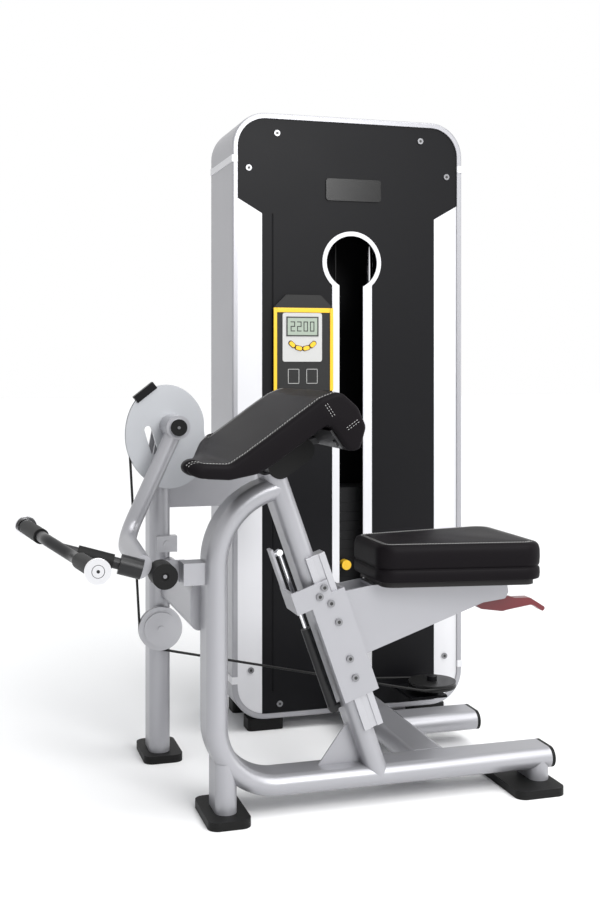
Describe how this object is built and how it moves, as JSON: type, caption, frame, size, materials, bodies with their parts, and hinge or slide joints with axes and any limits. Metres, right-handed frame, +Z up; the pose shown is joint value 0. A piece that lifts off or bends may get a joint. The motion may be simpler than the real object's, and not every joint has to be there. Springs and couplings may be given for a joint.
{
  "type": "biceps curl machine",
  "caption": "Seated biceps curl gym machine: an arm with a wide handle winds a cable that lifts weight plates in a tower; sloping arm pad and sliding seat",
  "frame": {"origin": "on the floor, at the middle of the outline seen from above", "axes": "+Z up, -Y towards the front of the tower's panel, +X towards the seat's end"},
  "size_m": [1.1999, 1.0619, 1.6],
  "materials": {
    "silver": "satin metallic silver",
    "cam_grey": "satin grey",
    "white_paint": "semi-gloss white",
    "black_paint": "satin black",
    "plate_black": "painted black",
    "chrome": "polished",
    "black_steel": "satin black",
    "cover_silver": "brushed",
    "badge": "glossy black, left bare",
    "screw_steel": "bright",
    "console_black": "matt black",
    "yellow": "glossy yellow",
    "label_white": "smooth white",
    "display": "grey-green display",
    "pulley_black": "matt black",
    "rubber": "matt black",
    "cable_black": "smooth sheath",
    "red_paint": "glossy red",
    "board": "stained black",
    "leather": "smooth black with white stitching"
  },
  "bodies": {
    "frame": {"rim_ends": "silver", "rim_sides": "silver", "white_trim": "white_paint", "shroud_front": "black_paint", "shroud_rear": "black_paint", "keyhole_trim": "white_paint", "badge_plate": "badge", "tower_screws": "screw_steel", "console_body": "console_black", "console_trim": "yellow", "console_label": "label_white", "console_display": "display", "guide_rods": "chrome", "plates_resting": "plate_black", "inner_brackets": "black_paint", "frame_rail": "silver", "frame_loop": "silver", "frame_post": "silver", "frame_braces": "silver", "arm_stop": "rubber", "base_spine": "silver", "base_tube": "silver", "feet_and_caps": "rubber", "disc_bracket": "black_paint", "rear_post": "silver", "rear_beams": "silver", "bearing": "silver", "post_fittings": "cover_silver", "cable": "cable_black", "cable_drop": "cable_black", "seat_track": "cover_silver", "gas_cylinder": "black_steel", "pad_tube": "black_steel", "pad_plates": "cover_silver", "arm_pad": "leather"},
    "arm": {"arm_hub": "silver", "cam": "cam_grey", "cable_clamp": "black_paint", "arm_tube": "silver", "handle_bar": "black_steel", "hand_foams": "rubber", "handle_discs": "chrome"},
    "stack": {"plates_lifted": "plate_black", "stack_head": "plate_black"},
    "pin": {"selector_pin": "yellow"},
    "lower_wheel": {"lower_pulley": "cover_silver"},
    "disc_wheel": {"disc_pulley": "pulley_black"},
    "inner_wheel": {"inner_pulley": "pulley_black"},
    "top_wheel": {"top_pulley": "pulley_black"},
    "seat": {"carriage": "silver", "carriage_screws": "screw_steel", "gas_rod": "chrome", "seat_arm": "silver", "seat_board": "board", "seat_cushion": "leather"},
    "lever": {"seat_lever": "red_paint"},
    "button_1_body": {"button_1": "yellow"},
    "button_2_body": {"button_2": "yellow"},
    "button_3_body": {"button_3": "yellow"},
    "button_4_body": {"button_4": "yellow"}
  },
  "joints": [
    {"name": "arm_curl", "type": "hinge", "parent": "frame", "child": "arm", "pos_m": [-0.23202, 0.04595, 0.803], "axis": [0, 1, 0], "range_deg": [0, 125]},
    {"name": "stack_lift", "type": "slide", "parent": "frame", "child": "stack", "axis": [0, 0, 1], "range_m": [0, 0.225], "deforming": ["cable_drop"]},
    {"name": "pin_slide", "type": "slide", "parent": "stack", "child": "pin", "axis": [0, -1, 0], "range_m": [0, 0.13]},
    {"name": "seat_height", "type": "slide", "parent": "frame", "child": "seat", "axis": [-0.335, 0, 0.9422], "range_m": [-0.07, 0.055]},
    {"name": "lever_lift", "type": "hinge", "parent": "seat", "child": "lever", "pos_m": [0.38998, -0.25405, 0.44], "axis": [0, -1, 0], "range_deg": [0, 14], "stiffness_Nm_per_rad": 1, "springref_deg": -20.05},
    {"name": "lower_wheel_spin", "type": "hinge", "parent": "frame", "child": "lower_wheel", "pos_m": [-0.25702, 0.12095, 0.32], "axis": [0, 1, 0], "range_deg": [0, 260]},
    {"name": "disc_wheel_spin", "type": "hinge", "parent": "frame", "child": "disc_wheel", "pos_m": [0.46798, 0.17995, 0.118], "axis": [0, 0, -1], "range_deg": [0, 216]},
    {"name": "inner_wheel_spin", "type": "hinge", "parent": "frame", "child": "inner_wheel", "pos_m": [0.18711, 0.30979, 0.148], "axis": [-0.2388, -0.9711, 0], "range_deg": [0, 423]},
    {"name": "top_wheel_spin", "type": "hinge", "parent": "frame", "child": "top_wheel", "pos_m": [0.21798, 0.36145, 1.49], "axis": [0.5957, -0.8032, 0], "range_deg": [0, 172]},
    {"name": "button_1_press", "type": "slide", "parent": "frame", "child": "button_1_body", "axis": [0, 1, 0], "range_m": [0, 0.002], "stiffness_N_per_m": 300, "springref_m": -0.001},
    {"name": "button_2_press", "type": "slide", "parent": "frame", "child": "button_2_body", "axis": [0, 1, 0], "range_m": [0, 0.002], "stiffness_N_per_m": 300, "springref_m": -0.001},
    {"name": "button_3_press", "type": "slide", "parent": "frame", "child": "button_3_body", "axis": [0, 1, 0], "range_m": [0, 0.002], "stiffness_N_per_m": 300, "springref_m": -0.001},
    {"name": "button_4_press", "type": "slide", "parent": "frame", "child": "button_4_body", "axis": [0, 1, 0], "range_m": [0, 0.002], "stiffness_N_per_m": 300, "springref_m": -0.001}
  ],
  "couplings": [
    {"joint": "stack_lift", "follows": "arm_curl", "m_per_rad": 0.101},
    {"joint": "lower_wheel_spin", "follows": "arm_curl", "ratio": 2.0612},
    {"joint": "disc_wheel_spin", "follows": "arm_curl", "ratio": 1.7119},
    {"joint": "inner_wheel_spin", "follows": "arm_curl", "ratio": 3.3667},
    {"joint": "top_wheel_spin", "follows": "arm_curl", "ratio": 1.3521}
  ]
}
